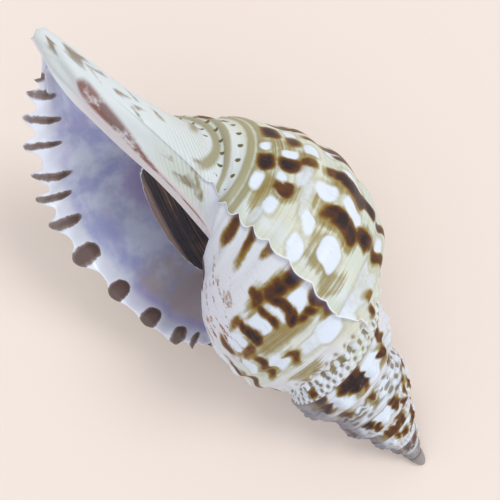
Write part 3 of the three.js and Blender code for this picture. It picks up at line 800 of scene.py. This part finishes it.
def cavity_loop(u):
    """Section of the hollow at u, up the outer wall and down the pillar, as radius, height and row."""
    scale = GROWTH ** -u
    top = CANAL_MOUTH_ROW - (CANAL_MOUTH_ROW - CAVITY_NECK_ROW) * smooth(0, 0.4, u)
    pillar_x = np.linspace(SUTURE_ROW, CANAL_ROW, SECTION_POINTS)
    callus = CALLUS * scale * (1 - smooth(11, 13, pillar_x))
    pillar = offset(section(u + 1, SECTION_POINTS), pillar_x, callus)
    pillar[:, 0] *= 1 - PILLAR_SLIMMING * smooth(11.5, 13, pillar_x)
    wall_x = np.linspace(WALL_START_ROW, top, SECTION_POINTS)
    wall = offset(section(u, SECTION_POINTS), wall_x, -wall_depth(u, wall_x))
    heights = np.maximum.accumulate(pillar[:, 1])
    clear = wall[:, 0] - np.interp(wall[:, 1], heights, pillar[:, 0]) > LEAST_CAVITY * scale
    first = int(np.argmax(clear))
    shut = np.flatnonzero(~clear[first:])
    last = first + int(shut[0]) if len(shut) else len(wall)
    wall, wall_x = wall[first:last], wall_x[first:last]
    inside = (pillar[:, 1] > wall[0, 1] + 0.3) & (pillar[:, 1] < wall[-1, 1] - 0.3)
    pillar, pillar_x = pillar[inside][::-1], pillar_x[inside][::-1]
    up = resample(np.column_stack([wall, wall_x]), CAVITY_WALL_POINTS)
    down = resample(np.column_stack([pillar, pillar_x]), CAVITY_PILLAR_POINTS)
    return np.concatenate([up, down])


def ring_places(x, wall):
    """Place of each ring point: 0 at the suture, 0.5 at the canal, towards 1 down the pillar."""
    up = 0.5 * np.clip((x - EDGE_START_ROW) / (CANAL_MOUTH_ROW - EDGE_START_ROW), 0, 1)
    down = 0.5 + 0.5 * np.clip((CANAL_MOUTH_ROW - x) / (CANAL_MOUTH_ROW - SUTURE_ROW), 0, 1)
    return np.where(wall > 0.5, up, down)


def bridge(first, second, first_at, second_at):
    """Triangles between two rings of point numbers."""
    faces = []
    i = j = 0
    while i < len(first) or j < len(second):
        a, b = first[i % len(first)], second[j % len(second)]
        next_first = first_at[i + 1] if i + 1 < len(first) else 1
        next_second = second_at[j + 1] if j + 1 < len(second) else 1
        if j >= len(second) or (i < len(first) and next_first <= next_second):
            i += 1
            faces.append([a, first[i % len(first)], b])
        else:
            j += 1
            faces.append([a, second[j % len(second)], b])
    return faces


def lip_rings():
    """Rings across the edge of the mouth, from the outer face to the start of the inner face."""
    up = np.concatenate([SPIRE_ROWS, BASE_ROWS])
    up = up[up >= EDGE_START_ROW]
    down = BASE_ROWS[::-1]
    x = np.concatenate([up, down])
    side = np.concatenate([np.zeros(len(up)), np.ones(len(down))])
    outer = side == 0
    rings = []
    for s in np.linspace(0, 1, RIM_RINGS):
        over = (1 - math.cos(math.pi * s)) / 2
        bulge = math.sin(math.pi * s)
        narrow = 1 - 0.35 * smooth(12, 14, x)
        roll = np.where(outer, -RIM_ROLL * bulge * (1 - smooth(13, 14, x)), 0.5 * RIM_ROLL * bulge)
        turn = side + roll + RIM_REACH * over * s
        start = relief(side, x) + np.where(outer, tooth_length(x), inner_lip(side, x))
        end = np.where(outer, -wall_depth(RIM_REACH, x) * smooth(0, 0.8, x), CALLUS * narrow)
        lift = start * (1 - over) + end * over
        points = to_space(around_neck(turn, x), offset(outline(np.maximum(turn, 0)), x, lift))
        rings.append(points)
    return rings, x, side


def tooth_marks(x, inward):
    """Millimetres inside the brown mark of the nearest tooth, as spread gives them."""
    field = np.full(len(x), -MARK_REACH)
    for row, half_width, length in TOOTH_MARKS:
        sideways = np.abs(x - row) * TOOTH_ROW_LENGTH / (half_width * (1 - 0.35 * smooth(2, length, inward)))
        inwards = np.abs(inward - length / 2) / (length / 2)
        inside = inside_mark(sideways, inwards, half_width)
        field = np.maximum(field, inside)
    return field


def make_inside():
    """The edge of the mouth, and the hollow wound inward from it."""
    rings, ring_x, ring_side = lip_rings()
    size = len(ring_x)
    points = list(rings)
    u_values = [ring_side + RIM_REACH * k / (RIM_RINGS - 1) for k in range(RIM_RINGS)]
    x_values = [ring_x] * len(rings)
    depth_values = [np.zeros(size)] * len(rings)
    wall_values = [1 - ring_side] * len(rings)
    inward_values = [np.full(size, EDGE_WIDTH * k / (len(rings) - 1)) for k in range(len(rings))]
    faces = []
    for k in range(len(rings) - 1):
        a, b = k * size, (k + 1) * size
        faces += [[b + j, b + (j + 1) % size, a + (j + 1) % size, a + j] for j in range(size)]
    start = len(rings) * size
    loop_size = CAVITY_WALL_POINTS + CAVITY_PILLAR_POINTS
    turns = CAVITY_START + np.arange(round((CAVITY_TURNS - CAVITY_START) * CAVITY_STEPS) + 1) / CAVITY_STEPS
    is_wall = np.concatenate([np.ones(CAVITY_WALL_POINTS), np.zeros(CAVITY_PILLAR_POINTS)])
    for k, u in enumerate(turns):
        loop = cavity_loop(float(u))
        points.append(to_space(np.full(loop_size, u), loop[:, :2]))
        u_values.append(np.full(loop_size, u) + (1 - is_wall))
        x_values.append(loop[:, 2])
        depth_values.append(np.full(loop_size, u))
        wall_values.append(is_wall)
        inward_values.append(EDGE_WIDTH + (u - RIM_REACH) * 2 * np.pi * loop[:, 0])
        a = start + k * loop_size
        if k == 0:
            loop_at = ring_places(loop[:, 2], is_wall)
            rim_at = ring_places(ring_x, 1 - ring_side)
            loop_index = [a + j for j in range(loop_size)]
            rim_index = [start - size + j for j in range(size)]
            faces += bridge(loop_index, rim_index, loop_at, rim_at)
        else:
            b = a - loop_size
            for j in range(loop_size):
                n = (j + 1) % loop_size
                faces.append([b + j, a + j, a + n, b + n])
    end = start + (len(turns) - 1) * loop_size
    points = np.concatenate(points)
    centre = points[end:].mean(axis=0)
    points = np.concatenate([points, [centre]])
    faces += [[end + (j + 1) % loop_size, end + j, len(points) - 1] for j in range(loop_size)]
    u = np.append(np.concatenate(u_values), CAVITY_TURNS)
    x = np.append(np.concatenate(x_values), 9)
    inward = np.append(np.concatenate(inward_values), 100)
    wall = np.append(np.concatenate(wall_values), 1)
    fields = {
        "depth": np.append(np.concatenate(depth_values), CAVITY_TURNS),
        "wall": wall,
        "inward": inward,
        "row": x,
        "tooth": np.where(wall > 0.5, tooth_marks(x, inward), -MARK_REACH),
    }
    return make_mesh("shell_inside", points, faces, u, x, fields)


def make_operculum():
    """An oval plate, domed towards the mouth, with an uneven rim and raised growth lines."""
    segments, rings = OPERCULUM_SEGMENTS, OPERCULUM_RINGS
    angle = LIP_ANGLE + 2 * math.pi * OPERCULUM_TURN
    outward = np.array([math.cos(angle), -math.sin(angle), 0])
    forward = np.array([math.sin(angle), math.cos(angle), 0])
    points, across_values, ring_values = [], [], []
    for side in (1, -1):
        for k in range(rings + 1):
            ring = k / rings
            phase = 2 * math.pi * np.arange(segments) / segments
            ragged = 1 - 0.015 * ring ** 6 * (1 + np.sin(9 * phase) * np.sin(23 * phase + 1))
            across = ring * OPERCULUM_HALF_WIDTH * np.sin(phase) * ragged
            lengthways = ring * OPERCULUM_HALF_LENGTH * np.cos(phase) * ragged
            r = OPERCULUM_RADIUS + across * math.cos(OPERCULUM_TILT) - lengthways * math.sin(OPERCULUM_TILT)
            z = OPERCULUM_HEIGHT + across * math.sin(OPERCULUM_TILT) + lengthways * math.cos(OPERCULUM_TILT)
            wave = np.sin(across * 3.1 + 0.3 * np.sin(lengthways * 0.3))
            lines = OPERCULUM_LINE_HEIGHT * wave * (1 - ring ** 8)
            dome = OPERCULUM_DOME * (1 - ring ** 2) + side * OPERCULUM_THICKNESS * (1 - 0.6 * ring ** 2) * 0.5
            dome = dome + lines * (side > 0)
            place = r[:, None] * outward + dome[:, None] * forward
            place[:, 0] += neck_bend(z)
            place[:, 2] += z
            points.append(place)
            across_values.append(across / OPERCULUM_HALF_WIDTH)
            ring_values.append(np.full(segments, ring))
    points = np.concatenate(points)
    faces = []
    for side in range(2):
        base = side * (rings + 1) * segments
        for k in range(rings):
            a, b = base + k * segments, base + (k + 1) * segments
            for j in range(segments):
                n = (j + 1) % segments
                quad = [a + n, a + j, b + j, b + n]
                faces.append(quad if side == 0 else quad[::-1])
    top, bottom = rings * segments, (2 * rings + 1) * segments
    for j in range(segments):
        n = (j + 1) % segments
        faces.append([top + n, top + j, bottom + j, bottom + n])
    across = np.concatenate(across_values)
    ring = np.concatenate(ring_values)
    return make_mesh("operculum_plate", points, faces, across, ring, {"across": across, "ring": ring})


class Nodes:
    """A material's nodes, added and joined by short calls."""

    def __init__(self, name):
        self.material = bpy.data.materials.new(name)
        self.material.use_nodes = True
        self.tree = self.material.node_tree
        self.tree.nodes.clear()
        self.shader = self.tree.nodes.new("ShaderNodeBsdfPrincipled")
        output = self.tree.nodes.new("ShaderNodeOutputMaterial")
        self.tree.links.new(self.shader.outputs["BSDF"], output.inputs["Surface"])

    def put(self, socket, value):
        if isinstance(value, bpy.types.NodeSocket):
            self.tree.links.new(value, socket)
        else:
            socket.default_value = value

    def new(self, kind, **values):
        """A node with inputs set or linked. An underscore stands for the space in an input's name."""
        node = self.tree.nodes.new(kind)
        for name, value in values.items():
            self.put(node.inputs[name.replace("_", " ")], value)
        return node

    def field(self, name):
        node = self.new("ShaderNodeAttribute")
        node.attribute_name = name
        return node.outputs["Fac"]

    def place(self, stretch=(1, 1, 1)):
        coordinates = self.new("ShaderNodeTexCoord").outputs["Object"]
        return self.new("ShaderNodeMapping", Scale=stretch, Vector=coordinates).outputs["Vector"]

    def turn_and_row(self, stretch):
        layer = self.new("ShaderNodeUVMap")
        layer.uv_map = "turn_and_row"
        return self.new("ShaderNodeMapping", Scale=stretch, Vector=layer.outputs["UV"]).outputs["Vector"]

    def noise(self, vector, scale, detail=4, roughness=0.55):
        node = self.new("ShaderNodeTexNoise", Vector=vector, Scale=scale, Detail=detail, Roughness=roughness)
        return node.outputs["Fac"]

    def math(self, operation, a, b=0.0):
        node = self.new("ShaderNodeMath")
        node.operation = operation
        self.put(node.inputs[0], a)
        self.put(node.inputs[1], b)
        return node.outputs[0]

    def between(self, value, low, high):
        """0 below low, 1 above high, smooth between them."""
        node = self.new("ShaderNodeMapRange", Value=value, From_Min=low, From_Max=high)
        node.interpolation_type = "SMOOTHSTEP"
        return node.outputs["Result"]

    def times(self, a, b):
        return self.math("MULTIPLY", a, b)

    def plus(self, a, b):
        return self.math("ADD", a, b)

    def centred(self, value):
        return self.math("SUBTRACT", value, 0.5)

    def mix(self, factor, a, b):
        node = self.new("ShaderNodeMix")
        node.data_type = "RGBA"
        self.put(node.inputs[0], factor)
        self.put(node.inputs[6], a if isinstance(a, bpy.types.NodeSocket) else (*a, 1))
        self.put(node.inputs[7], b if isinstance(b, bpy.types.NodeSocket) else (*b, 1))
        return node.outputs[2]

    def tint(self, color, share, strength, other):
        """The colour, with another over it where share is 1, as far as strength."""
        return self.mix(self.times(share, strength), color, other)

    def ramp(self, value, stops):
        node = self.new("ShaderNodeValToRGB", Fac=value)
        elements = node.color_ramp.elements
        while len(elements) < len(stops):
            elements.new(0.5)
        for element, (position, color) in zip(elements, stops):
            element.position = position
            element.color = (*color, 1)
        return node.outputs["Color"]

    def bump(self, height, strength, distance):
        node = self.new("ShaderNodeBump", Strength=strength, Distance=distance, Height=height)
        self.put(self.shader.inputs["Normal"], node.outputs["Normal"])

    def finish(self, color, roughness, coat=0.0):
        self.put(self.shader.inputs["Base Color"], color)
        self.put(self.shader.inputs["Roughness"], roughness)
        self.shader.inputs["Coat Weight"].default_value = coat
        self.shader.inputs["Coat Roughness"].default_value = 0.12
        self.shader.inputs["Specular IOR Level"].default_value = SPECULAR
        return self.material


SPECULAR = 0.3
CREAM = (0.68, 0.70, 0.60)
GREENISH = (0.60, 0.66, 0.59)
BLUE_WHITE = (0.72, 0.79, 0.90)
LILAC_WHITE = (0.69, 0.71, 0.83)
NECK_WHITE = (0.68, 0.73, 0.76)
OLIVE = (0.30, 0.25, 0.09)
OCHRE = (0.26, 0.155, 0.02)
BROWN = (0.115, 0.038, 0.007)
DARK_BROWN = (0.020, 0.008, 0.009)
ROSE = (0.33, 0.15, 0.12)
PINK_WHITE = (0.76, 0.70, 0.73)
EDGE_HIGHLIGHT = (0.88, 0.90, 0.93)
SHADOW = (0.20, 0.22, 0.36)
HORN_STOPS = [(0.40, (0.010, 0.010, 0.020)), (0.54, (0.034, 0.024, 0.028)), (0.66, (0.24, 0.13, 0.09))]


def outer_material():
    n = Nodes("shell_outside")
    ragged = n.centred(n.noise(n.place(), 330, 5, 0.62))
    broad = n.centred(n.noise(n.place(), 75, 3, 0.5))
    uneven = n.plus(n.times(ragged, 2.0), n.times(broad, 2.2))
    growth = n.noise(n.turn_and_row((260, 1.6, 1)), 1, 4, 0.6)
    threads = n.noise(n.turn_and_row((7, 9, 1)), 1, 4, 0.6)
    streaks = n.times(n.centred(threads), 6.0)

    # Cream ground with thin olive lines along the cords, whiter by the neck, and painted shade along the
    # neck's ribs.
    color = n.mix(n.between(n.noise(n.place(), 30, 3, 0.5), 0.38, 0.62), CREAM, GREENISH)
    color = n.tint(color, n.between(threads, 0.48, 0.72), 0.30, OLIVE)
    color = n.tint(color, n.field("between"), 0.8, NECK_WHITE)
    color = n.tint(color, n.field("neck"), 0.9, NECK_WHITE)
    # Painted shade: a grey-green tint over each rib's wave on the neck.
    ribs = n.math("SINE", n.times(n.field("rib_row"), 2 * math.pi))
    ribs = n.times(n.between(ribs, -0.2, 1.0), n.field("ribs"))
    color = n.tint(color, ribs, 0.4, (0.42, 0.45, 0.35))

    # The spire and the ridge along an old lip are bluer, and the part behind its edge is whiter.
    color = n.tint(color, n.field("pale"), 0.7, LILAC_WHITE)
    color = n.tint(color, n.field("ridge"), 0.75, NECK_WHITE)
    color = n.tint(color, n.field("glaze"), 0.9, LILAC_WHITE)

    # Olive and ochre smears, streaked along the cords.
    smear = n.plus(n.field("ochre"), n.plus(uneven, streaks))
    color = n.tint(color, n.between(smear, -1.5, 0.8), 0.85, OLIVE)
    color = n.tint(color, n.between(smear, 0.3, 2.2), 0.75, OCHRE)
    band = n.between(n.plus(n.field("band"), n.times(ragged, 0.3)), 0.12, 0.75)
    color = n.tint(color, band, 0.85, (0.29, 0.26, 0.12))
    color = n.mix(n.between(n.field("dots"), 0.25, 0.55), color, (0.13, 0.115, 0.035))

    # White windows.
    white = n.plus(n.field("white"), n.times(uneven, 0.6))
    rim = n.times(n.between(white, -1.9, -0.5), n.math("SUBTRACT", 1.0, n.field("glaze")))
    color = n.tint(color, rim, 0.35, OLIVE)
    color = n.mix(n.between(white, -0.7, 0.6), color, BLUE_WHITE)

    # White grains under the sutures, dark between them.
    grain = n.field("bead")
    color = n.tint(color, n.between(grain, 0.0, -0.45), 0.8, (0.20, 0.155, 0.08))
    color = n.tint(color, n.between(grain, 0.1, 0.45), 0.9, BLUE_WHITE)

    # Dark blotches, chocolate in the middle and ochre at the edge.
    dark = n.plus(n.field("dark"), n.times(uneven, 0.7))
    scaled = n.times(n.plus(n.plus(dark, n.times(broad, 3.0)), 1.5), 0.27)
    brown = n.ramp(scaled, [(0.10, OLIVE), (0.30, OCHRE), (0.52, BROWN), (0.86, DARK_BROWN)])
    color = n.mix(n.between(dark, -1.3, 0.1), color, brown)
    spots = n.plus(n.field("spots"), n.times(uneven, 1.2))
    spot_color = n.mix(n.between(n.field("spots"), 0.1, 1.2), (0.30, 0.28, 0.24), (0.21, 0.13, 0.05))
    color = n.tint(color, n.between(spots, -0.9, 0.9), 0.8, spot_color)

    # Rusty scribbles on the glaze by the mouth.
    rust = n.between(n.noise(n.place((1, 1, 2.2)), 130, 5, 0.72), 0.53, 0.59)
    rust = n.times(rust, n.between(n.noise(n.place(), 45, 2, 0.5), 0.43, 0.53))
    color = n.mix(n.times(rust, n.field("scribble")), color, (0.30, 0.13, 0.05))

    # Growth lines, painted shadow behind the old lip's edge and a painted highlight along it, the spire's
    # grey stain with painted shade on its underside, the worn spire, painted shade in the sutures, and the
    # rosy groove.
    color = n.tint(color, n.between(growth, 0.55, 0.75), 0.2, OLIVE)
    # Painted shadow behind each old lip's edge.
    color = n.tint(color, n.field("under"), 0.3, SHADOW)
    # Painted highlight along each old lip's free edge.
    color = n.tint(color, n.field("edge"), 0.85, EDGE_HIGHLIGHT)
    # Grey stain and painted shade on the underside of the earlier whorls.
    color = n.tint(color, n.field("stain_and_shade"), 0.8, (0.13, 0.11, 0.14))
    color = n.tint(color, n.field("worn"), 0.85, (0.30, 0.28, 0.30))
    # Painted shade in the crease of the sutures.
    color = n.tint(color, n.field("suture"), 0.6, (0.16, 0.10, 0.07))
    color = n.tint(color, n.field("lip"), 0.85, PINK_WHITE)
    chipped = n.between(n.noise(n.place(), 110, 5, 0.65), 0.36, 0.52)
    rosy = n.mix(n.between(n.noise(n.place(), 60, 2, 0.5), 0.4, 0.6), ROSE, (0.25, 0.16, 0.15))
    color = n.mix(n.times(n.between(n.field("groove"), 0.2, 0.55), chipped), color, rosy)
    fine = n.plus(growth, n.plus(threads, n.times(ragged, 0.5)))
    fine = n.math("SUBTRACT", fine, ribs)
    n.bump(fine, 0.35, 0.0004)
    rough = n.plus(0.28, n.times(n.noise(n.place(), 120, 3), 0.2))
    return n.finish(color, rough)


def inside_material():
    n = Nodes("shell_inside")
    broad = n.noise(n.place(), 34, 4, 0.6)
    streaks = n.noise(n.turn_and_row((16, 0.55, 1)), 1, 4, 0.55)
    uneven = n.times(n.centred(broad), 0.22)
    deep = n.between(n.plus(n.field("depth"), uneven), 0.06, 0.22)
    pearl = n.mix(n.between(streaks, 0.36, 0.62), (0.45, 0.49, 0.78), (0.77, 0.82, 0.97))
    color = n.tint(pearl, n.between(broad, 0.45, 0.66), 0.7, (0.50, 0.43, 0.73))
    color = n.tint(color, deep, 0.6, (0.42, 0.33, 0.58))
    low = n.times(n.between(n.field("row"), 6.2, 3.4), n.between(broad, 0.42, 0.62))
    low = n.times(low, n.between(n.field("inward"), 8.0, 16.0))
    color = n.tint(color, low, 0.6, (0.60, 0.50, 0.32))
    margin = n.between(n.field("inward"), 10.0, 4.0)
    color = n.tint(color, margin, 0.75, (0.84, 0.88, 0.95))
    lip = n.math("SUBTRACT", 1.0, n.field("wall"))
    color = n.mix(n.times(lip, n.between(n.field("depth"), 0.2, 0.0)), color, (0.84, 0.78, 0.82))
    ragged = n.centred(n.noise(n.place(), 420, 4, 0.6))
    mark = n.plus(n.field("tooth"), n.times(ragged, 1.6))
    brown = n.mix(n.between(mark, 0.1, 1.4), (0.24, 0.19, 0.18), (0.13, 0.085, 0.075))
    color = n.mix(n.between(mark, -0.35, 0.35), color, brown)
    n.bump(n.plus(broad, streaks), 0.25, 0.0008)
    return n.finish(color, 0.18, 0.3)


def operculum_material():
    n = Nodes("operculum_horn")
    swirl = n.noise(n.place(), 60, 3, 0.5)
    lines = n.noise(n.turn_and_row((13, 0.5, 1)), 1, 5, 0.75)
    lines = n.plus(lines, n.times(n.centred(swirl), 0.35))
    color = n.ramp(lines, HORN_STOPS)
    margin = n.between(n.plus(n.field("across"), n.times(swirl, 0.3)), 0.45, 0.80)
    color = n.tint(color, margin, 0.85, n.mix(lines, (0.08, 0.055, 0.05), (0.46, 0.31, 0.27)))
    # Painted highlight: a pale grey line along the rim on one side of the plate, where its edge catches the
    # light.
    rim = n.times(n.between(n.field("ring"), 0.955, 0.975), n.between(n.field("across"), 0.1, 0.3))
    color = n.mix(rim, color, (0.62, 0.64, 0.68))
    n.bump(lines, 0.7, 0.0008)
    return n.finish(color, 0.42)


def plain_material(name, color, roughness):
    return Nodes(name).finish((*color, 1), roughness)


outside_finish = outer_material()
dressed = [(make_whorl(), outside_finish), (make_spire(), outside_finish), (make_inside(), inside_material())]
for piece, material in dressed:
    piece.data.materials.append(material)
    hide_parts("shell")
    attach(piece, "root")
plate = make_operculum()
plate.data.materials.append(operculum_material())
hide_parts("operculum")
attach(plate, "root")

# The camera stands where the photograph was taken from.
rotation = laid_down()
view_axes = photo_axes() @ rotation.T
camera_place = (APEX - rotation @ photo_axes().T @ apex_in_picture()) / 1000
camera_data = bpy.data.cameras.new("photo_camera")
camera_data.sensor_width = 36
camera_data.lens = 36 * FOCAL / PICTURE
camera_data.clip_start = 0.01
camera = bpy.data.objects.new("photo_camera", camera_data)
bpy.context.scene.collection.objects.link(camera)
flip = np.diag([1.0, -1.0, -1.0])
camera.matrix_world = Matrix.Translation(camera_place) @ Matrix((flip @ view_axes).T.tolist()).to_4x4()
bpy.context.scene.camera = camera

# A plain pale floor and soft light from the upper right of the picture.
FLOOR = (0.86, 0.755, 0.69)
floor_mesh = bpy.data.meshes.new("floor")
floor_mesh.from_pydata([(-4, -4, 0), (4, -4, 0), (4, 4, 0), (-4, 4, 0)], [], [(0, 1, 2, 3)])
floor = bpy.data.objects.new("floor", floor_mesh)
floor_mesh.materials.append(plain_material("floor_pale", FLOOR, 0.9))
bpy.context.scene.collection.objects.link(floor)

# The key light comes from the right of, above and before the picture, in these shares.
KEY_FROM = (0.65, 0.4, 1.0)
right, down, inward = (Vector(axis) for axis in view_axes)
key_data = bpy.data.lights.new("key", "SUN")
key_data.energy = 0.98
key_data.angle = math.radians(24)
key = bpy.data.objects.new("key", key_data)
towards = -(right * KEY_FROM[0] - down * KEY_FROM[1] - inward * KEY_FROM[2])
key.rotation_euler = towards.to_track_quat("-Z", "Y").to_euler()
bpy.context.scene.collection.objects.link(key)

bpy.context.scene.view_settings.view_transform = "Standard"
world = bpy.data.worlds.new("studio")
world.use_nodes = True
background = world.node_tree.nodes["Background"]
background.inputs["Color"].default_value = (0.97, 0.98, 1.0, 1)
background.inputs["Strength"].default_value = 0.86
bpy.context.scene.world = world
